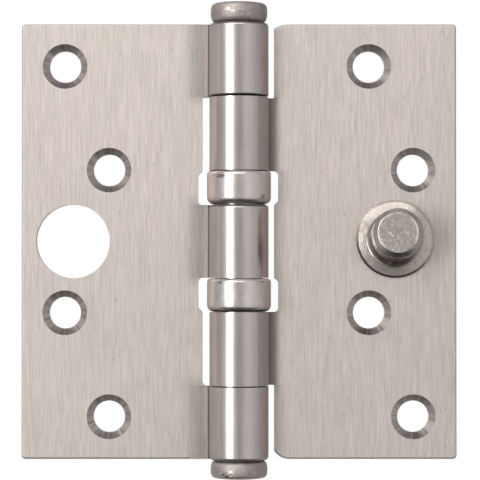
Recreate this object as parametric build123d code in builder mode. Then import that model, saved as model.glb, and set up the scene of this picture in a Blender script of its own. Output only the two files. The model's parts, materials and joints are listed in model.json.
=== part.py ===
from build123d import *
import os
from math import acos, asin, atan2, copysign, cos, degrees, hypot, isclose, radians, sin, sqrt

# Ball bearing butt hinge, opened flat. Millimetres, +Z up along the pin axis.
# The origin is on the pin axis at mid height. The frame leaf reaches to -X, the door leaf to +X,
# and both inner faces look towards -Y.

# Leaves
leaf_height = 89.0
open_width = 89.0
leaf_thickness = 3.0
closed_gap = 2.5  # between the two inner faces when the hinge is shut
leaf_corner_radius = 0.8
leaf_edge_round = 0.4

# Barrel, rolled from the leaves round the pin
pin_diameter = 6.0
pin_clearance = 0.05
knuckle_gap = 0.25
knuckle_end_round = 0.7
knuckle_inner_round = 0.4
neck_reach = 3.95  # from the barrel to the start of the neck's bend
neck_bend_radius = 12.0
curl_slit = 0.3  # between the end of the curl and the neck

# Cut-outs in each leaf beside the barrel, a little deeper beside the bearings
frame_relief = 1.45
door_relief = 1.15
bearing_step = 0.85
notch_corner_radius = 0.9
square_corner_radius = 0.25
step_round = 0.4
shoulder_length = 3.0
shoulder_top_drop = 0.9
shoulder_bottom_drop = 1.65

# Screw holes, staggered in two columns
screw_hole_diameter = 6.5
countersink_diameter = 9.15
countersink_angle = 90
screw_edge_margin = 8.85
screw_stagger = 9.05
screw_end_margin = 8.65
screw_inner_height = 14.6

# Security stud on the door leaf, and the hole in the frame leaf that takes it
stud_edge_margin = 12.6
stud_rise = 0.45  # above mid height
stud_body_diameter = 10.1
stud_height = 11.0
stud_lean = 7.2  # degrees, tip upwards
stud_top_inset = 0.95
stud_top_bevel = 0.7
stud_top_round = 0.3
stud_flare = 0.75
stud_flare_height = 1.1
stud_flange_width = 2.1
stud_flange_rim = 0.9
stud_flange_rise = 0.45
stud_flange_round = 0.35
stud_shank_diameter = 8.0
stud_fit = 0.02
rivet_flare = 0.8
rivet_flare_angle = 90
stud_hole_clearance = 2.5
stud_hole_offset = 2.1

# Button tips: the head of the pin, and a plug at the bottom
tip_inset = 0.25  # inside the barrel's outline
head_height = 4.4
plug_height = 4.0
tip_crown = 0.45
tip_bulge_radius = 5.0
tip_round = 0.95
tip_under_round = 1.25
dent_radius = 1.1
dent_depth = 0.07
head_dents = ((-24, 1.8), (-19, 2.8), (-3, 2.6), (4, 1.6), (31, 2.2), (128, 2.2))  # degrees, height
plug_dents = ((-37, 2.3), (-29, 2.5), (-17, 2.8), (-14, 1.3), (22, 2.7), (-115, 1.8))
plug_stem_length = 6.0
pin_end_chamfer = 0.5

# Ball bearings between the middle knuckles
bearing_height = 7.0
ball_diameter = 2.0
ball_count = 6
ball_play = 0.02
race_rim = 0.375  # beside the balls, to the bore and to the outside of a race
race_clearance = 0.1
cage_thickness = 0.6
cage_play = 0.35
cage_pocket_clearance = 0.06
shell_wall = 0.6
shell_top_round = 0.8
shell_bottom_round = 1.35
shell_lip = 1.0
shell_end_gap = 0.12

# Places along the pin axis
knuckle_spaces = (knuckle_gap, bearing_height, bearing_height, knuckle_gap)
knuckle_length = (leaf_height - sum(knuckle_spaces)) / (len(knuckle_spaces) + 1)
leaf_end = leaf_height / 2
end_knuckle_z = leaf_end - knuckle_length / 2
bearing_z = (knuckle_length + bearing_height) / 2
door_knuckle_z = bearing_z + (bearing_height + knuckle_length) / 2
frame_knuckles = (end_knuckle_z, 0, -end_knuckle_z)
door_knuckles = (door_knuckle_z, -door_knuckle_z)

# Radii about the pin axis
bore_radius = pin_diameter / 2 + pin_clearance
barrel_radius = bore_radius + leaf_thickness
race_bore_radius = pin_diameter / 2 + race_clearance
race_radius = race_bore_radius + ball_diameter + 2 * race_rim
ball_circle_radius = (race_bore_radius + race_radius) / 2
shell_inner_radius = race_radius + race_clearance
bearing_radius = shell_inner_radius + shell_wall
lip_radius = shell_inner_radius - shell_lip
hub_radius = lip_radius - race_clearance
tip_radius = barrel_radius - tip_inset

# Places across the leaves, as distances from the pin axis
leaf_reach = open_width / 2
face_y = closed_gap / 2
neck_start = barrel_radius + neck_reach
screw_far = leaf_reach - screw_edge_margin
screw_near = screw_far - screw_stagger
screw_outer_height = leaf_end - screw_end_margin
screw_rows = (screw_outer_height, screw_inner_height, -screw_inner_height, -screw_outer_height)
stud_x = leaf_reach - stud_edge_margin
stud_hole_x = -stud_x - stud_hole_offset

# Radii and heights of the stud
stud_body_radius = stud_body_diameter / 2
stud_flare_radius = stud_body_radius + stud_flare
stud_shank_radius = stud_shank_diameter / 2
stud_flange_height = stud_flange_rim + stud_flange_rise

# The neck: a bend away from the flat, then a straight slope that runs tangent into the bore
bend_centre_y = face_y + neck_bend_radius
bend_centre_distance = hypot(neck_start, bend_centre_y)
neck_turn_radius = neck_bend_radius + bore_radius
neck_angle = degrees(asin(neck_turn_radius / bend_centre_distance) - atan2(bend_centre_y, neck_start))
neck_slope_length = sqrt(bend_centre_distance**2 - neck_turn_radius**2)
curl_sweep = 360 - degrees(acos((bore_radius - curl_slit) / barrel_radius))

front = Plane(origin=(0, face_y, 0), x_dir=(1, 0, 0), z_dir=(0, -1, 0))
back = Plane(origin=(0, face_y + leaf_thickness, 0), x_dir=(-1, 0, 0), z_dir=(0, 1, 0))


def near(a, b, tolerance=1e-6):
    return isclose(a, b, abs_tol=tolerance)


def sheet_line(depth):
    """The sheet at one depth behind its inner face: bend, slope and curl. Returns both ends."""
    bend = JernArc((-neck_start, face_y + depth), (1, 0), neck_bend_radius - depth, neck_angle)
    slope = PolarLine(bend @ 1, neck_slope_length, neck_angle)
    curl = JernArc(slope @ 1, slope % 1, bore_radius + depth, -curl_sweep)
    return bend @ 0, curl @ 1


def rolled_strip():
    """Section of the sheet from the flat through the neck and round the pin, on the frame side."""
    with BuildSketch() as strip:
        with BuildLine():
            inner_start, inner_end = sheet_line(0)
            outer_start, outer_end = sheet_line(leaf_thickness)
            Line(inner_start, outer_start)
            Line(inner_end, outer_end)
        make_face()
    return strip.sketch


def ends_of(centres, length):
    return [z + side * length / 2 for z in centres for side in (1, -1)]


def corners_at(outline, edge, heights):
    """Corners of the plate's outline at one distance from the pin axis and any of the heights."""
    on_edge = outline.vertices().filter_by(lambda v: near(v.X, -edge))
    return on_edge.filter_by(lambda v: any(near(v.Y, z) for z in heights))


def plate_outline(own_knuckles, relief, square_corners, shoulder_drops):
    """Outline of the flat plate seen from the front, on the frame side, cut out round the barrel."""
    roots = [z for z in ends_of(own_knuckles, knuckle_length) if not near(abs(z), leaf_end)]
    notch_edge = barrel_radius + relief
    bearing_edge = notch_edge + bearing_step
    step_corners = []
    with BuildSketch(front) as outline:
        with Locations((-(leaf_reach + notch_edge) / 2, 0)):
            Rectangle(leaf_reach - notch_edge, leaf_height)
        with Locations(*[(-neck_start / 2, z) for z in own_knuckles]):
            Rectangle(neck_start, knuckle_length)
        for middle in (bearing_z, -bearing_z):
            ends = (middle + bearing_height / 2, middle - bearing_height / 2)
            root, step = ends if any(near(ends[0], z) for z in roots) else ends[::-1]
            slant_end = step + copysign(bearing_step, root - step)
            step_corners += [step, slant_end]
            with BuildLine():
                Polyline(
                    (0, root),
                    (-bearing_edge, root),
                    (-bearing_edge, slant_end),
                    (-notch_edge, step),
                    (0, step),
                    close=True,
                )
            make_face(mode=Mode.SUBTRACT)
        fillet(corners_at(outline, notch_edge, step_corners), radius=step_round)
        fillet(corners_at(outline, bearing_edge, step_corners), radius=step_round)
        fillet(corners_at(outline, notch_edge, square_corners), radius=square_corner_radius)
        round_corners = [z for z in roots if z not in square_corners]
        fillet(corners_at(outline, notch_edge, round_corners), radius=notch_corner_radius)
        fillet(corners_at(outline, bearing_edge, round_corners), radius=notch_corner_radius)
        fillet(outline.vertices().group_by(Axis.X)[0], radius=leaf_corner_radius)
        for side, drop in zip((1, -1), shoulder_drops):
            outer = (-notch_edge - shoulder_length, side * leaf_end)
            lower = (-notch_edge, side * (leaf_end - drop))
            with BuildLine():
                TangentArc(outer, lower, tangent=(1, 0))
                Polyline(lower, (-notch_edge, side * leaf_end), outer)
            make_face(mode=Mode.SUBTRACT)
        with Locations(*[(-neck_start / 2, z) for z in own_knuckles]):
            Rectangle(neck_start, knuckle_length, mode=Mode.SUBTRACT)
    return outline.sketch


def leaf_plate(own_knuckles, relief, square_corners, shoulder_drops=()):
    """Flat plate of a leaf on the frame side, with its outer edges rolled over."""
    with BuildPart() as plate:
        outline = plate_outline(own_knuckles, relief, square_corners, shoulder_drops)
        extrude(outline, amount=leaf_thickness, dir=(0, 1, 0))
        rims = plate.faces().filter_by(Axis.Y).edges()
        side = rims.filter_by(lambda e: e.center().X < -leaf_reach + leaf_corner_radius)
        ends = rims.filter_by(lambda e: abs(e.center().Z) > leaf_end - leaf_corner_radius)
        ends = ends.filter_by(lambda e: e.center().X < -neck_start)
        fillet(list(set(ends + side)), radius=leaf_edge_round)
    return plate.part


def knuckle(z, top_round=0.0, bottom_round=0.0):
    """Neck and knuckle at a height, on the frame side, with its barrel ends rounded off."""
    with BuildPart() as rolled:
        with BuildSketch(Plane.XY.offset(z)):
            add(rolled_strip())
        extrude(amount=knuckle_length / 2, both=True)
        for end, radius in ((-1, top_round), (0, bottom_round)):
            if radius > 0:
                rim = rolled.faces().filter_by(Axis.Z).sort_by(Axis.Z)[end].edges()
                arcs = rim.filter_by(GeomType.CIRCLE)
                fillet(arcs.filter_by(lambda e: near(e.radius, barrel_radius)), radius=radius)
    return rolled.part


def screw_holes(first_column, second_column):
    """Countersunk holes from the inner face, stepping between two columns from the top row down."""
    columns = (first_column, second_column, first_column, second_column)
    with Locations(front):
        with Locations(*zip(columns, screw_rows)):
            CounterSinkHole(
                radius=screw_hole_diameter / 2,
                counter_sink_radius=countersink_diameter / 2,
                counter_sink_angle=countersink_angle,
            )


with BuildPart() as frame_leaf:
    add(leaf_plate(frame_knuckles, frame_relief, [end_knuckle_z - knuckle_length / 2]))
    add(knuckle(end_knuckle_z, top_round=knuckle_end_round, bottom_round=knuckle_inner_round))
    add(knuckle(0, top_round=knuckle_end_round))
    add(knuckle(-end_knuckle_z, bottom_round=knuckle_end_round))
    screw_holes(-screw_far, -screw_near)
    with Locations(front):
        with Locations((stud_hole_x, 0)):
            Hole(stud_body_radius + stud_hole_clearance)

with BuildPart() as door_leaf:
    outer_ends = (door_knuckle_z + knuckle_length / 2, -door_knuckle_z - knuckle_length / 2)
    add(leaf_plate(door_knuckles, door_relief, outer_ends, (shoulder_top_drop, shoulder_bottom_drop)))
    for height in door_knuckles:
        add(knuckle(height))
    mirror(about=Plane.YZ, mode=Mode.REPLACE)
    screw_holes(screw_near, screw_far)
    with Locations(back):
        with Locations((-stud_x, stud_rise)):
            CounterSinkHole(
                radius=stud_shank_radius + stud_fit,
                counter_sink_radius=stud_shank_radius + rivet_flare + stud_fit,
                counter_sink_angle=rivet_flare_angle,
            )

# The stud is turned in one piece: a leaning body on a flange, and a shank riveted through the leaf.
# Its body starts well below the inner face and is cut off there, inside the flange.
stud_foot = Plane(origin=(stud_x, face_y, stud_rise), x_dir=(1, 0, 0), z_dir=(0, 0, -1))
stud_body_length = stud_height - stud_flange_height
stud_body_foot = Plane(
    origin=(stud_x, face_y - stud_flange_height, stud_rise),
    x_dir=(1, 0, 0),
    z_dir=(0, -sin(radians(stud_lean)), -cos(radians(stud_lean))),
)
with BuildPart() as security_stud:
    with BuildSketch(stud_body_foot) as body:
        with BuildLine():
            TangentArc((stud_body_radius, stud_flare_height), (stud_flare_radius, 0), tangent=(0, -1))
            Polyline(
                (stud_flare_radius, 0),
                (stud_flare_radius, -stud_height),
                (0, -stud_height),
                (0, stud_body_length),
                (stud_body_radius - stud_top_inset, stud_body_length),
                (stud_body_radius, stud_body_length - stud_top_bevel),
                (stud_body_radius, stud_flare_height),
            )
        make_face()
        top_rims = body.vertices().filter_by(lambda v: v.X > 0 and v.Y > stud_body_length / 2)
        fillet(top_rims, radius=stud_top_round)
    revolve(axis=Axis(stud_body_foot.origin, stud_body_foot.y_dir))
    split(bisect_by=front, keep=Keep.TOP)
    with BuildSketch(stud_foot) as flange:
        with BuildLine():
            Polyline(
                (0, -leaf_thickness),
                (stud_shank_radius + rivet_flare, -leaf_thickness),
                (stud_shank_radius, rivet_flare - leaf_thickness),
                (stud_shank_radius, 0),
                (stud_flare_radius + stud_flange_width, 0),
                (stud_flare_radius + stud_flange_width, stud_flange_rim),
                (stud_flare_radius, stud_flange_height),
                (0, stud_flange_height),
                close=True,
            )
        make_face()
        fillet(flange.vertices().filter_by(lambda v: near(v.Y, stud_flange_rim)), radius=stud_flange_round)
    revolve(axis=Axis(stud_foot.origin, stud_foot.y_dir))


def tip_side(tip_height, height, proud=0.0):
    """Radius and place along the axis of a point on a tip's bulging side, or some way out from there."""
    rise = height - tip_height / 2
    run = sqrt(tip_bulge_radius**2 - rise**2)
    reach = 1 + proud / tip_bulge_radius
    return tip_radius - tip_bulge_radius + run * reach, leaf_end + tip_height / 2 + rise * reach


def button(tip_height, stem_length, dents):
    """Button tip on the top end of the barrel, dented, with a stem of some length down into the bore."""
    stem_radius = pin_diameter / 2
    stem_end = leaf_end - stem_length
    tip_top = leaf_end + tip_height
    shoulder = tip_side(tip_height, tip_height - tip_crown)
    foot = tip_side(tip_height, 0)
    with BuildPart() as turned:
        with BuildSketch(Plane.XZ) as profile:
            with BuildLine():
                TangentArc((0, tip_top), shoulder, tangent=(1, 0))
                ThreePointArc(shoulder, tip_side(tip_height, tip_height / 2), foot)
                Polyline(
                    foot,
                    (stem_radius, leaf_end),
                    (stem_radius, stem_end + pin_end_chamfer),
                    (stem_radius - pin_end_chamfer, stem_end),
                    (0, stem_end),
                    (0, tip_top),
                )
            make_face()
            fillet(profile.vertices().filter_by(lambda v: near(v.Y, shoulder[1])), radius=tip_round)
            fillet(profile.vertices().filter_by(lambda v: near(v.X, foot[0])), radius=tip_under_round)
        revolve(axis=Axis.Z)
        for angle, height in dents:
            radius, z = tip_side(tip_height, height, dent_radius - dent_depth)
            with Locations((radius * sin(radians(angle)), -radius * cos(radians(angle)), z)):
                Sphere(dent_radius, mode=Mode.SUBTRACT)
    return turned.part


with BuildPart() as hinge_pin:
    add(button(head_height, leaf_height - plug_stem_length, head_dents))

with BuildPart() as bottom_tip:
    add(button(plug_height, plug_stem_length, plug_dents))
    mirror(about=Plane.XY, mode=Mode.REPLACE)


def bearing_shell(z):
    """Rolled sleeve round a bearing, turned in over both races."""
    half = bearing_height / 2 - shell_end_gap
    with BuildPart() as shell:
        with BuildSketch(Plane.XZ) as profile:
            with Locations(((lip_radius + bearing_radius) / 2, z)):
                Rectangle(bearing_radius - lip_radius, 2 * half)
            fillet(profile.vertices().group_by(Axis.Y)[-1].sort_by(Axis.X)[-1], radius=shell_top_round)
            fillet(profile.vertices().group_by(Axis.Y)[0].sort_by(Axis.X)[-1], radius=shell_bottom_round)
            with Locations(((lip_radius + shell_inner_radius) / 2, z)):
                Rectangle(shell_lip, 2 * (half - shell_wall), mode=Mode.SUBTRACT)
        revolve(axis=Axis.Z)
    return shell


def bearing_race(z, side):
    """Grooved washer above (side 1) or below (side -1) the balls, with a hub against the knuckle."""
    groove_face = cage_thickness / 2 + cage_play
    shoulder = bearing_height / 2 - shell_end_gap - shell_wall - race_clearance
    with BuildPart() as race:
        with BuildSketch(Plane.XZ):
            with BuildLine():
                Polyline(
                    (race_bore_radius, z + side * groove_face),
                    (race_radius, z + side * groove_face),
                    (race_radius, z + side * shoulder),
                    (hub_radius, z + side * shoulder),
                    (hub_radius, z + side * bearing_height / 2),
                    (race_bore_radius, z + side * bearing_height / 2),
                    close=True,
                )
            make_face()
            with Locations((ball_circle_radius, z)):
                Circle(ball_diameter / 2 + ball_play, mode=Mode.SUBTRACT)
        revolve(axis=Axis.Z)
    return race


def ball_cage(z):
    """Flat ring with a pocket round each ball."""
    with BuildPart() as cage:
        with BuildSketch(Plane.XY.offset(z)):
            Circle(race_radius - race_clearance)
            Circle(race_bore_radius + race_clearance, mode=Mode.SUBTRACT)
            with PolarLocations(ball_circle_radius, ball_count):
                Circle(ball_diameter / 2 + cage_pocket_clearance, mode=Mode.SUBTRACT)
        extrude(amount=cage_thickness / 2, both=True)
    return cage


def ball_set(z):
    """The balls of one bearing, in their pockets."""
    with BuildPart() as balls:
        with Locations((0, 0, z)):
            with PolarLocations(ball_circle_radius, ball_count):
                Sphere(ball_diameter / 2)
    return balls


pieces = {
    "frame_leaf": frame_leaf,
    "door_leaf": door_leaf,
    "security_stud": security_stud,
    "hinge_pin": hinge_pin,
    "bottom_tip": bottom_tip,
}
for place, middle in (("upper", bearing_z), ("lower", -bearing_z)):
    pieces[f"{place}_bearing_shell"] = bearing_shell(middle)
    pieces[f"{place}_bearing_top_race"] = bearing_race(middle, 1)
    pieces[f"{place}_bearing_bottom_race"] = bearing_race(middle, -1)
    pieces[f"{place}_bearing_cage"] = ball_cage(middle)
    pieces[f"{place}_bearing_balls"] = ball_set(middle)

os.makedirs("parts", exist_ok=True)
for name, piece in pieces.items():
    piece.part.label = name
    export_step(piece.part, f"parts/{name}.step")
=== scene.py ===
import bpy
import json
import math
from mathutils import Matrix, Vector

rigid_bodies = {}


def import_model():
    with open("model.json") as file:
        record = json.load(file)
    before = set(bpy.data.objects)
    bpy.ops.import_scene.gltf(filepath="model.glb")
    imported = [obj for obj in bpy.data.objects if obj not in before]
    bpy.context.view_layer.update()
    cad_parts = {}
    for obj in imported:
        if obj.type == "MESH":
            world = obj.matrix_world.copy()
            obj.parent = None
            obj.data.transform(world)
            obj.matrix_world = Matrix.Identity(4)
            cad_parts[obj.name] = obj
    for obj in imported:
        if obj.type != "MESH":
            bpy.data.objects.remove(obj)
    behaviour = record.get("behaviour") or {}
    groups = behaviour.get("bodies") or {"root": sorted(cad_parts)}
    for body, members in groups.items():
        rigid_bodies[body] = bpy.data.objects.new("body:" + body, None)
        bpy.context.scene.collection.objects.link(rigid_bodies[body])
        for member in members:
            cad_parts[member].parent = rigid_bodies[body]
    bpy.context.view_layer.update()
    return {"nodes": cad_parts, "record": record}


# Ball bearing butt hinge in satin steel, seen square on to its open leaves. Metres, +Z up the pin.

for thing in list(bpy.data.objects):
    bpy.data.objects.remove(thing)

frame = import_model()
nodes = frame["nodes"]

MM = 0.001

# Leaves
front_y = 1.25 * MM  # their inner faces
screw_reach = 4.8 * MM  # from a screw hole's axis to past its countersink
screw_places = [
    (mount["pos_m"][0], mount["pos_m"][2] + side * mount["dims"]["spacing_y_mm"] * MM / 2)
    for mount in frame["record"]["mounts"]
    if mount["kind"] == "bolt_pattern"
    for side in (1, -1)
]

# Barrel: distances from the pin axis, and heights from the middle
barrel_reach = 6.2 * MM
curl_end_x = 3.95 * MM  # a curl's end is satin from here outwards, with shade painted into its darker colour
neck_span = (6 * MM, 13 * MM)  # distances that a neck's painted shades cover
neck_fade = 2.5 * MM
door_rows = (14.45 * MM, 29.35 * MM)  # heights that a door knuckle takes up
frame_gap = (7.45 * MM, 29.6 * MM)  # heights between two frame knuckles
side_shade_level = 0.7  # level that painted shade darkens the sides to
side_shade_width = 1.3 * MM
ring_shade_heights = (-3.3 * MM, -2.85 * MM)  # heights of a ring's lower edge, from the ring's middle, where shade is painted into the crease
patch_y = -5.2 * MM  # front of the barrel
patch_stretch = (1, 0.35, 1.8)

# Security stud
stud_x, stud_z = 31.9 * MM, 0.45 * MM
stud_top_z = 1.66 * MM
stud_lean = math.radians(7.2)
stud_direction = Vector((0, -math.cos(stud_lean), math.sin(stud_lean)))
flange_y = -0.2 * MM  # its body stands out past this
flange_reach = 5.75 * MM
flange_shadow_radii = (7.35 * MM, 7.7 * MM)  # radii of its edge, where a shadow is painted
rivet_y = 4 * MM  # its riveted end lies behind this
flange_shadow_side = (-0.5, 0, -0.85)  # side of its flange's edge where a shadow is painted black

# Looks: colours are linear, a grain is features to the metre and relief is the height of a bump
leaf_out = (0, 1, 0)  # axis of the stud and the countersinks
across_grooves = 0.25  # of a turn: spreads a highlight square to the tangent
most_noise = (0.35, 0.65)  # where most of a noise's values lie
all_noise = (0.3, 0.7)  # where nearly all of them lie
even_grain = (900, 900, 900)
smudge_grain = 700
wear_grain = 1500
brushing_relief = 0.006 * MM
wear_relief = 0.02 * MM
rub_polish = -0.13  # added to the roughness
ring_shade_level = 0.12  # painted shade under a ring, at the foot of its lower edge
pit_level = 0.8  # in a leaf's pits
shade_level = 0.5  # painted shade low in a countersink
white = (1, 1, 1)
smudge = (0.4, 0.4, 0.4)
dark_stain = (0.2, 0.18, 0.17)
# colour of glints painted in the countersinks
glint = (0.92, 0.88, 0.85)
# black of the shadow painted on the flange's edge
painted_shadow_black = (0.05, 0.045, 0.04)

# Camera and stage
image_pixels = 480
pixels_per_mm = 4.886
camera_distance = 480 * MM
camera_elevation = math.radians(-0.8)
aim = Vector((0.2 * MM, front_y, 0.29 * MM))
floor_size = 2.2
floor_front = -0.7
floor_split = (0.03, 0.031)  # between its front, which only the camera sees, and the rest
floor_z = -0.3
behind_span = (0.88, 0.98)  # how far a direction points away from the camera


class Tree:
    """A node tree, with short calls that add a node, set its values and link its inputs."""

    def __init__(self, owner):
        owner.use_nodes = True
        self.tree = owner.node_tree
        self.tree.nodes.clear()

    def add(self, kind, inputs=None, **settings):
        node = self.tree.nodes.new(kind)
        for name, value in settings.items():
            setattr(node, name, value)
        for name, value in (inputs or {}).items():
            if isinstance(value, bpy.types.NodeSocket):
                self.tree.links.new(value, node.inputs[name])
            else:
                node.inputs[name].default_value = value
        return node

    def value(self, operation, *terms):
        return self.add("ShaderNodeMath", dict(enumerate(terms)), operation=operation).outputs[0]

    def vector(self, operation, *terms):
        node = self.add("ShaderNodeVectorMath", dict(enumerate(terms)), operation=operation)
        return node.outputs["Value" if operation in ("LENGTH", "DOT_PRODUCT") else "Vector"]

    def part(self, vector, axis):
        """One of a vector's three parts."""
        return self.add("ShaderNodeSeparateXYZ", {0: vector}).outputs[axis]

    def place(self):
        return self.add("ShaderNodeTexCoord").outputs["Object"]

    def noise(self, place, scale, detail=2.0, roughness=0.5):
        """Noise with so many features to the metre along each axis."""
        scaled = self.vector("MULTIPLY", place, scale)
        inputs = {"Vector": scaled, "Scale": 1.0, "Detail": detail, "Roughness": roughness}
        return self.add("ShaderNodeTexNoise", inputs).outputs["Fac"]

    def spread(self, value, span, to=(0, 1)):
        """A value's span mapped to two other ends, and held at them outside it."""
        ends = {"Value": value, "From Min": span[0], "From Max": span[1], "To Min": to[0], "To Max": to[1]}
        return self.add("ShaderNodeMapRange", ends).outputs["Result"]

    def shared(self, first, second, share):
        """Two values added: the first by its share, the second by the rest."""
        return self.value("MULTIPLY_ADD", first, share, self.value("MULTIPLY", second, 1 - share))

    def tint(self, factor, dark, light):
        """Colour between two: each is a socket or red, green and blue."""
        ends = [end if isinstance(end, bpy.types.NodeSocket) else (*end, 1) for end in (dark, light)]
        return self.add("ShaderNodeMix", {0: factor, 6: ends[0], 7: ends[1]}, data_type="RGBA").outputs[2]

    def dye(self, colour, by):
        """A colour multiplied by another, or by a level."""
        mix = self.add("ShaderNodeMix", {0: 1.0, 6: colour, 7: by}, data_type="RGBA", blend_type="MULTIPLY")
        return mix.outputs[2]

    def levels(self, value, stops):
        """Grey levels along a value that runs from 0 to 1."""
        ramp = self.add("ShaderNodeValToRGB", {"Fac": value})
        while len(ramp.color_ramp.elements) < len(stops):
            ramp.color_ramp.elements.new(0.5)
        for element, (position, level) in zip(ramp.color_ramp.elements, stops):
            element.position = position
            element.color = (level, level, level, 1)
        return ramp.outputs["Color"]

    def paint_side_shade(self, colour, place, start):
        """A colour darkened with painted shade sideways of the pin axis, from a distance on."""
        side = self.value("ABSOLUTE", self.part(place, "X"))
        return self.dye(colour, self.spread(side, (start, start + side_shade_width), to=(1, side_shade_level)))

    def around(self, place, centre):
        """From an axis square to the leaf: the arm from its centre, the distance from it, and the direction
        round it in the world."""
        arm = self.vector("SUBTRACT", place, centre)
        flat = self.vector("MULTIPLY", arm, (1, 0, 1))
        round_it = self.vector("CROSS_PRODUCT", leaf_out, flat)
        world = self.add(
            "ShaderNodeVectorTransform", {0: round_it},
            vector_type="VECTOR", convert_from="OBJECT", convert_to="WORLD",
        )
        return arm, self.vector("LENGTH", flat), self.vector("NORMALIZE", world.outputs[0])

    def patch(self, place, mark, grain):
        """One in a ragged patch on the barrel's front, zero away from it. A mark is its x, z and size."""
        x, z, size = mark
        ragged = self.noise(place, (grain, grain, 2 * grain), detail=3.0, roughness=0.6)
        away = self.vector("MULTIPLY", self.vector("SUBTRACT", place, (x, patch_y, z)), patch_stretch)
        edge = self.value("ADD", self.vector("LENGTH", away), self.value("MULTIPLY", ragged, 2 * size))
        return self.spread(edge, (1.2 * size, 1.8 * size), to=(1, 0))

    def looked_at(self, mirrored=1.0):
        """One for the camera's rays; reflections and glass count by as much as mirrored."""
        path = self.add("ShaderNodeLightPath").outputs
        bent = self.value("MAXIMUM", path["Is Glossy Ray"], path["Is Transmission Ray"])
        return self.value("MAXIMUM", path["Is Camera Ray"], self.value("MULTIPLY", bent, mirrored))

    def steel(self, colour, roughness, height, relief, tangent=None, anisotropy=0.0):
        """Metal surface with the looks given, as the material's output."""
        bump = self.add("ShaderNodeBump", {"Strength": 1.0, "Distance": relief, "Height": height})
        inputs = {
            "Base Color": colour, "Metallic": 1.0, "Roughness": roughness, "Normal": bump.outputs["Normal"],
        }
        if tangent:
            inputs |= {
                "Tangent": tangent, "Anisotropic": anisotropy, "Anisotropic Rotation": across_grooves,
            }
        shader = self.add("ShaderNodeBsdfPrincipled", inputs)
        self.add("ShaderNodeOutputMaterial", {"Surface": shader.outputs[0]})


def new_material(name):
    material = bpy.data.materials.new(name)
    return material, Tree(material)


def in_metres(marks):
    """Marks with each of their millimetres turned to metres."""
    return [tuple(mm * MM for mm in mark) for mark in marks]


def knuckle_rows(tree, place, on_door):
    """One at the heights where a leaf has its knuckles, fading to zero past them: where its necks' painted
    shade goes.
    """
    rise = tree.value("ABSOLUTE", tree.part(place, "Z"))
    if on_door:
        start, stop = door_rows
        above = tree.spread(rise, (start - neck_fade, start))
        below = tree.spread(rise, (stop, stop + neck_fade), to=(1, 0))
        return tree.value("MINIMUM", above, below)
    start, stop = frame_gap
    middle = tree.spread(rise, (start, start + neck_fade), to=(1, 0))
    ends = tree.spread(rise, (stop - neck_fade, stop))
    return tree.value("MAXIMUM", middle, ends)


def neck_shade(tree, place, shades):
    """Grey levels of painted shade by distance from the pin axis, each with its distance in millimetres."""
    start, end = neck_span
    reach = tree.vector("LENGTH", tree.vector("MULTIPLY", place, (1, 1, 0)))
    stops = [((mm * MM - start) / (end - start), level) for mm, level in shades]
    return tree.levels(tree.spread(reach, neck_span), stops)


def brushed(name, dark, light, roughness, anisotropy, on_door=False, shades=None):
    """Leaf sheet: fine brushing up and down, with faint warm and cool streaks and patches, and a few pits.
    Painted shades darken its necks, which lie beside the door's knuckles or the frame's."""
    material, tree = new_material(name)
    place = tree.place()
    fine = tree.noise(place, (6800, 6800, 300), detail=1.0)
    wide = tree.noise(place, (2200, 2200, 130), detail=1.0)
    broad = tree.noise(place, (60, 60, 25))
    both = tree.shared(fine, wide, 0.65)
    colour = tree.tint(tree.spread(both, (0.31, 0.69)), dark, light)
    streaks = tree.spread(tree.noise(place, (700, 700, 60)), most_noise)
    colour = tree.dye(colour, tree.tint(streaks, (1, 0.988, 0.99), (0.992, 1, 0.985)))
    patches = tree.spread(tree.noise(place, (38, 38, 30), detail=1.0), most_noise)
    colour = tree.dye(colour, tree.tint(patches, (1.018, 1.004, 1.008), (0.977, 0.985, 0.964)))
    pits = tree.noise(place, (1300, 1300, 800), detail=1.0)
    colour = tree.dye(colour, tree.spread(pits, (0.74, 0.78), to=(1, pit_level)))
    if shades:
        # painted shade on the necks, in the rows of the leaf's own knuckles
        rows = knuckle_rows(tree, place, on_door)
        colour = tree.dye(colour, tree.tint(rows, white, neck_shade(tree, place, shades)))
    rough = tree.spread(tree.value("ADD", fine, broad), (0.7, 1.3), to=roughness)
    up = tree.add("ShaderNodeCombineXYZ", {"Z": 1.0}).outputs[0]
    tree.steel(colour, rough, both, brushing_relief, up, anisotropy)
    return material


def plain(name, dark, light, roughness, relief, grain=even_grain, side_shade=None, joint=None, stains=()):
    """Steel with an even, fine mottle. Painted shade darkens its sides from a given distance off the pin axis
    on, and goes black downwards over given heights into the crease below; each stain has its x, z and size."""
    material, tree = new_material(name)
    place = tree.place()
    fine = tree.noise(place, grain, detail=3.0, roughness=0.6)
    broad = tree.noise(place, (160, 160, 120))
    colour = tree.tint(tree.spread(tree.shared(fine, broad, 0.6), most_noise), dark, light)
    if side_shade:
        # painted shade on the sides, away from the pin axis
        colour = tree.paint_side_shade(colour, place, side_shade)
    if joint:
        # painted shade: black downwards into the crease under a ring's lower edge
        colour = tree.dye(colour, tree.spread(tree.part(place, "Z"), joint, to=(ring_shade_level, 1)))
    for mark in stains:
        stain = tree.patch(place, mark, smudge_grain)
        colour = tree.dye(colour, tree.tint(stain, white, smudge))
    tree.steel(colour, tree.spread(fine, all_noise, to=roughness), fine, relief)
    return material


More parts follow.
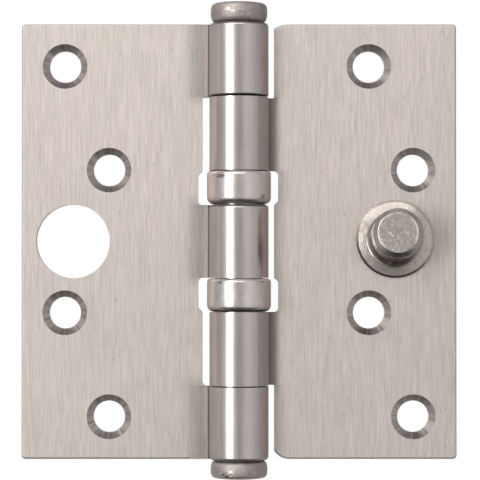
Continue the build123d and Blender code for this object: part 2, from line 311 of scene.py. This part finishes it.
def turned(
    name, dark, light, roughness, anisotropy, centre, ridges, relief, blemish=0.0, chatter_and_painted_light=0.0, joint=None
):
    """Steel cut round an axis: ridges that spread its highlights across them. Blemish roughens them; chatter
    marks them outwards and also paints shade low down and pale glints of highlight; and over given radii a
    shadow is painted black on the lower left edge."""
    material, tree = new_material(name)
    place = tree.place()
    arm, radius, tangent = tree.around(place, centre)
    along = tree.vector("MULTIPLY", arm, leaf_out)
    rings = tree.add("ShaderNodeCombineXYZ", {"X": radius, "Y": tree.vector("LENGTH", along)}).outputs[0]
    marks = tree.noise(rings, (ridges, ridges, 1), roughness=0.6)
    spots = tree.noise(place, even_grain, detail=3.0, roughness=0.6)
    both = tree.shared(marks, spots, 0.6)
    if chatter_and_painted_light:
        outward = tree.vector("ADD", tree.vector("NORMALIZE", tree.vector("SUBTRACT", arm, along)), centre)
        sectors = tree.noise(outward, (4, 4, 4), detail=3.0, roughness=0.7)
        both = tree.shared(both, sectors, 1 - chatter_and_painted_light)
    colour = tree.tint(tree.spread(both, (0.38, 0.62)), dark, light)
    if chatter_and_painted_light:
        # painted shade: darker low in the hole
        rise = tree.part(tree.vector("NORMALIZE", arm), "Z")
        colour = tree.dye(colour, tree.spread(rise, (-0.85, -0.6), to=(shade_level, 1)))
        # painted glints: a few pale radial streaks standing in for highlights
        glints = tree.spread(tree.noise(outward, (11, 11, 11), detail=1.0), (0.66, 0.71), to=(0, chatter_and_painted_light))
        colour = tree.tint(glints, colour, glint)
    if joint:
        # painted shadow: the lower left edge goes black
        low = tree.vector("DOT_PRODUCT", tree.vector("NORMALIZE", arm), flange_shadow_side)
        black = tree.value("MULTIPLY", tree.spread(radius, joint), tree.spread(low, (-0.1, 0.6)))
        colour = tree.tint(black, colour, painted_shadow_black)
    height = tree.value("MULTIPLY_ADD", spots, blemish, marks)
    tree.steel(colour, tree.spread(both, all_noise, to=roughness), height, relief, tangent, anisotropy)
    return material


def worn(name, dark, light, roughness, speck, grain, rim=None, rubs_and_highlights=(), stains=()):
    """Steel gone dull and mottled, with pale rubbed specks. A rim is rubbed too, round a centre between two
    radii. Each rub is a smoother patch with a pale painted highlight, and each stain a dark one, with its x,
    z and size."""
    material, tree = new_material(name)
    place = tree.place()
    mottle = tree.noise(place, (grain, grain, grain), detail=4.0, roughness=0.65)
    specks = tree.noise(place, (2 * grain, 2 * grain, 2 * grain), detail=3.0, roughness=0.6)
    rubbed = tree.spread(specks, (0.58, 0.70))
    colour = tree.tint(tree.spread(mottle, most_noise), dark, light)
    if rim:
        centre, inner_radius, outer_radius = rim
        away = tree.vector("MULTIPLY", tree.vector("SUBTRACT", place, centre), (1, 0, 1))
        reach = tree.vector("LENGTH", away)
        ragged = tree.value("MULTIPLY_ADD", mottle, outer_radius - inner_radius, reach)
        patches = tree.spread(tree.noise(place, (260, 260, 260)), (0.44, 0.56))
        edge = tree.value("MULTIPLY", tree.spread(ragged, (inner_radius, outer_radius)), patches)
        rubbed = tree.value("MAXIMUM", rubbed, edge)
    colour = tree.tint(rubbed, colour, speck)
    rough = tree.spread(mottle, all_noise, to=roughness)
    for mark in rubs_and_highlights:
        # each rub is smoother, and its pale colour is a painted highlight
        rub_and_highlight = tree.patch(place, mark, wear_grain)
        colour = tree.tint(rub_and_highlight, colour, speck)
        rough = tree.value("MULTIPLY_ADD", rub_and_highlight, rub_polish, rough)
    for mark in stains:
        stain = tree.patch(place, mark, wear_grain)
        colour = tree.dye(colour, tree.tint(stain, white, dark_stain))
    tree.steel(colour, rough, mottle, wear_relief)
    return material


# Leaves and barrel
# Leaves: their necks take painted shades, given as grey levels by distance in millimetres from the pin axis
frame_face, door_face = [
    brushed(
        name, (0.53, 0.479, 0.453), (0.715, 0.645, 0.609),
        roughness=(0.45, 0.55), anisotropy=0.65, on_door=on_door, shades=shades,
    )
    for name, on_door, shades in (
        ("frame_face", False, [
            (6.5, 0.25), (6.68, 0.9), (7.0, 1.0), (7.45, 0.87), (8.0, 0.78),
            (9.8, 0.8), (10.4, 0.87), (11.0, 0.93), (12.5, 1.0),
        ]),
        ("door_face", True, [(6.3, 0.5), (6.9, 0.62), (8.6, 1.0)]),
    )
]
# Curl ends: satin brushing in a darker copy of the leaf's steel, which paints shade in
shaded_curl_end = brushed(
    "shaded_curl_end", (0.41, 0.373, 0.352), (0.50, 0.455, 0.43), roughness=(0.40, 0.48), anisotropy=0.7,
)
leaf_edge = plain(
    "leaf_edge", (0.58, 0.532, 0.505), (0.70, 0.642, 0.61), roughness=(0.52, 0.62), relief=0.004 * MM,
)
# Knuckle ends: a darker copy of the barrel's steel, painted shade on their roundings
shaded_knuckle_end = plain(
    "shaded_knuckle_end", (0.27, 0.245, 0.23), (0.36, 0.325, 0.305), roughness=(0.30, 0.42), relief=0.003 * MM,
)
# Barrel: painted shade darkens its sides
barrel = plain(
    "barrel", (0.59, 0.535, 0.505), (0.68, 0.62, 0.585), roughness=(0.19, 0.25), relief=0.0015 * MM,
    grain=(2500, 2500, 60), side_shade=4.1 * MM,
)
# Countersinks: painted shade low down and painted glints
countersinks = [
    turned(
        f"countersink_{place}", (0.36, 0.325, 0.31), (0.74, 0.67, 0.635), roughness=(0.26, 0.38),
        anisotropy=0.75, centre=(x, 0, z), ridges=6000, relief=0.01 * MM, chatter_and_painted_light=0.65,
    )
    for place, (x, z) in enumerate(screw_places)
]

# Bearings and tips
# Bearing rings: painted shade on their sides and in the crease under them; the stains are smudges
shells = {
    place: plain(
        f"{place}_bearing_ring", (0.72, 0.662, 0.632), (0.82, 0.752, 0.717), roughness=(0.19, 0.27),
        relief=0.002 * MM, grain=(900, 900, 500), side_shade=4.7 * MM,
        joint=[middle * MM + edge for edge in ring_shade_heights],
        stains=in_metres((x, middle + up, size) for x, up, size in marks),
    )
    for place, middle, marks in (
        ("upper", 10.9, [(-3.7, 2.3, 1.2), (5.0, -1.9, 1.25)]),
        ("lower", -10.9, [(-3.7, 2.4, 1.0)]),
    )
}
inner = plain(
    "bearing_steel", (0.55, 0.55, 0.55), (0.66, 0.66, 0.66), roughness=(0.10, 0.18), relief=0.001 * MM,
)
# Tips: each rub is a smoother patch with a painted highlight; the stains are dark spots
tip_top, tip_bottom, rivet = [
    worn(
        name, (0.42, 0.371, 0.349), (0.52, 0.462, 0.435), roughness=(0.50, 0.60),
        speck=(0.62, 0.558, 0.525), grain=700, rubs_and_highlights=in_metres(rubs_and_highlights), stains=in_metres(stains),
    )
    for name, rubs_and_highlights, stains in (
        ("tip_top", [(-2.3, 47.0, 1.2), (-1.3, 46.6, 0.8)], [(0.1, 47.4, 0.33)]),
        (
            "tip_bottom", [(-1.7, -46.6, 1.0)],
            [(-3.2, -47.2, 0.75), (-2.4, -47.5, 0.5), (-1.6, -47.8, 0.5)],
        ),
        ("rivet", [], []),
    )
]

# Security stud
stud_centre = (stud_x, 0, stud_z)
stud_top = worn(
    "stud_top", (0.30, 0.277, 0.25), (0.40, 0.369, 0.337), roughness=(0.30, 0.42),
    speck=(0.72, 0.67, 0.625), grain=1100, rim=((stud_x, 0, stud_top_z), 3.8 * MM, 4.3 * MM),
)
# Flange: a shadow is painted on its lower left edge
flange = turned(
    "stud_flange", (0.41, 0.364, 0.33), (0.65, 0.577, 0.523), roughness=(0.15, 0.24), anisotropy=0.3,
    centre=stud_centre, ridges=2600, relief=0.02 * MM, blemish=0.9, joint=flange_shadow_radii,
)
stud_wall = turned(
    "stud_wall", (0.42, 0.383, 0.354), (0.56, 0.51, 0.472), roughness=(0.14, 0.22), anisotropy=0.2,
    centre=stud_centre, ridges=4000, relief=0.002 * MM, blemish=0.5,
)

# Places of the materials on a leaf and on the stud
FACE, EDGE, BARREL, CURL_END, KNUCKLE_END, COUNTERSINK = range(6)
STUD_TOP, STUD_WALL, STUD_FLANGE, RIVET = range(4)
# Parts of a face's normal that tell where it is
round_pin = 0.3  # a rolled face has less than this round the pin
along_pin = 0.25  # a knuckle's end has more than this along the pin
bare_leaf = 0.999  # a countersink has less than this out of the leaf
leaf_side = 0.9  # a flat side has more than this out of the leaf
along_stud = 0.97  # the stud's top has more than this along the stud


def near_screw(point):
    """Which screw hole a point is in, or None."""
    for place, (x, z) in enumerate(screw_places):
        if math.hypot(point.x - x, point.z - z) < screw_reach:
            return place
    return None


def leaf_part(polygon, curl_side):
    """Which of a leaf's materials a face takes. The curl's end lies opposite the curl's side."""
    centre, normal = polygon.center, polygon.normal
    reach = math.hypot(centre.x, centre.y)
    if reach < barrel_reach:
        sideways = (normal.x * centre.y - normal.y * centre.x) / reach
        if abs(sideways) >= round_pin:
            return FACE
        if abs(normal.z) > along_pin:
            return KNUCKLE_END
        on_end = centre.y < 0 and abs(centre.x) > curl_end_x and centre.x * curl_side < 0
        return CURL_END if on_end else BARREL
    hole = near_screw(centre)
    if hole is not None and abs(normal.y) < bare_leaf:
        return COUNTERSINK + hole
    return FACE if abs(normal.y) > leaf_side else EDGE


def stud_part(polygon):
    """Which of the stud's materials a face takes."""
    centre = polygon.center
    if centre.y > rivet_y:
        return RIVET
    if math.hypot(centre.x - stud_x, centre.z - stud_z) > flange_reach and centre.y > flange_y:
        return STUD_FLANGE
    on_top = polygon.normal.dot(stud_direction) > along_stud and centre.y < flange_y
    return STUD_TOP if on_top else STUD_WALL


def dress(node, *materials, choose=None):
    """Gives a CAD node its materials, with one chosen for each face."""
    mesh = nodes[node].data
    mesh.materials.clear()
    for material in materials:
        mesh.materials.append(material)
    for polygon in mesh.polygons:
        polygon.material_index = choose(polygon) if choose else 0


for name, face, curl_side in (("frame_leaf", frame_face, 1), ("door_leaf", door_face, -1)):
    dress(
        name, face, leaf_edge, barrel, shaded_curl_end, shaded_knuckle_end, *countersinks,
        choose=lambda polygon: leaf_part(polygon, curl_side),
    )
dress("hinge_pin", tip_top)
dress("bottom_tip", tip_bottom)
dress("security_stud", stud_top, stud_wall, flange, rivet, choose=stud_part)
for place in ("upper", "lower"):
    dress(f"{place}_bearing_shell", shells[place])
    for piece in ("top_race", "bottom_race", "cage", "balls"):
        dress(f"{place}_bearing_{piece}", inner)


def pale_floor():
    """Plain pale floor well below the hinge. In front of the hinge only the camera sees it."""
    half = floor_size / 2
    mesh = bpy.data.meshes.new("floor")
    corners = [(x, y, 0) for x, y in (
        (-half, floor_front), (half, floor_front), (half, floor_size), (-half, floor_size),
    )]
    mesh.from_pydata(corners, [], [(0, 1, 2, 3)])
    made = bpy.data.objects.new("floor", mesh)
    made.location = (0, 0, floor_z)
    bpy.context.scene.collection.objects.link(made)
    material, tree = new_material("floor_pale")
    place = tree.place()
    grain = tree.noise(place, (3, 3, 3))
    seen = tree.tint(grain, (0.88, 0.88, 0.87), (0.93, 0.93, 0.92))
    bounced = tree.tint(grain, (0.60, 0.60, 0.59), (0.64, 0.64, 0.63))
    diffuse = tree.add("ShaderNodeBsdfDiffuse", {"Color": tree.tint(tree.looked_at(), bounced, seen)})
    by_camera = tree.add("ShaderNodeLightPath").outputs["Is Camera Ray"]
    shown = tree.value("MAXIMUM", by_camera, tree.spread(tree.part(place, "Y"), floor_split))
    clear = tree.add("ShaderNodeBsdfTransparent")
    mix = tree.add("ShaderNodeMixShader", {0: shown, 1: clear.outputs[0], 2: diffuse.outputs[0]})
    tree.add("ShaderNodeOutputMaterial", {"Surface": mix.outputs[0]})
    mesh.materials.append(material)


def softbox(name, azimuth, elevation, distance, width, height, radiance):
    """Rectangular lamp turned to the hinge. Azimuth is from the camera's side, positive to the right."""
    turn, rise = math.radians(azimuth), math.radians(elevation)
    lamp = bpy.data.lights.new(name, "AREA")
    lamp.shape = "RECTANGLE"
    lamp.size, lamp.size_y = width, height
    lamp.energy = radiance * math.pi * width * height
    made = bpy.data.objects.new(name, lamp)
    away = Vector((math.sin(turn) * math.cos(rise), -math.cos(turn) * math.cos(rise), math.sin(rise)))
    made.location = away * distance
    made.rotation_euler = away.to_track_quat("Z", "Y").to_euler()
    bpy.context.scene.collection.objects.link(made)


def surround(by_azimuth, by_height):
    """World whose brightness changes round the hinge by azimuth in degrees, and with height.
    Behind the hinge it is white to reflections and through glass too; the camera sees white all round."""
    world = bpy.data.worlds.new("studio")
    bpy.context.scene.world = world
    tree = Tree(world)
    axes = tree.add("ShaderNodeSeparateXYZ", {0: tree.add("ShaderNodeTexCoord").outputs["Generated"]}).outputs
    azimuth = tree.value("ARCTAN2", axes["X"], tree.value("MULTIPLY", axes["Y"], -1.0))
    turned_to = tree.spread(azimuth, (-math.pi, math.pi))
    sides = tree.levels(turned_to, [(0.5 + degrees / 360, level) for degrees, level in by_azimuth])
    height = tree.levels(tree.spread(axes["Z"], (-1, 1)), [((z + 1) / 2, level) for z, level in by_height])
    seen = tree.looked_at(tree.spread(axes["Y"], behind_span))
    colour = tree.tint(seen, tree.dye(sides, height), white)
    background = tree.add("ShaderNodeBackground", {"Color": colour, "Strength": 1.0})
    tree.add("ShaderNodeOutputWorld", {"Surface": background.outputs[0]})


pale_floor()
softbox("key_left", azimuth=-36.5, elevation=16, distance=1.9, width=0.76, height=2.3, radiance=3.35)
softbox("upper_left", azimuth=-4, elevation=30, distance=1.8, width=1.4, height=0.9, radiance=1.2)
surround(
    by_azimuth=[
        (-180, 0.8), (-150, 0.6), (-131, 0.56), (-108, 0.46), (-90, 0.40), (-75, 0.46), (-60, 0.60),
        (-26, 0.85), (-11, 0.47), (0, 0.40), (12, 0.48), (24, 0.69), (36, 0.72), (48, 0.65), (62, 0.56),
        (76, 0.48), (91, 0.40), (109, 0.37), (133, 0.29), (160, 0.35), (180, 0.8),
    ],
    by_height=[(-1, 0.1), (-0.75, 0.14), (-0.42, 0.85), (-0.1, 1.0), (0.5, 1.0), (0.8, 0.9), (1, 1.15)],
)

camera_data = bpy.data.cameras.new("camera")
camera_data.sensor_width = 36
camera_data.lens = camera_data.sensor_width * camera_distance / (image_pixels / pixels_per_mm * MM)
camera_data.clip_start = 0.01
camera_data.clip_end = 100
camera = bpy.data.objects.new("camera", camera_data)
bpy.context.scene.collection.objects.link(camera)
back = Vector((0, -math.cos(camera_elevation), math.sin(camera_elevation)))
camera.location = aim + back * camera_distance
camera.rotation_euler = back.to_track_quat("Z", "Y").to_euler()
bpy.context.scene.camera = camera
bpy.context.scene.view_settings.view_transform = "Standard"
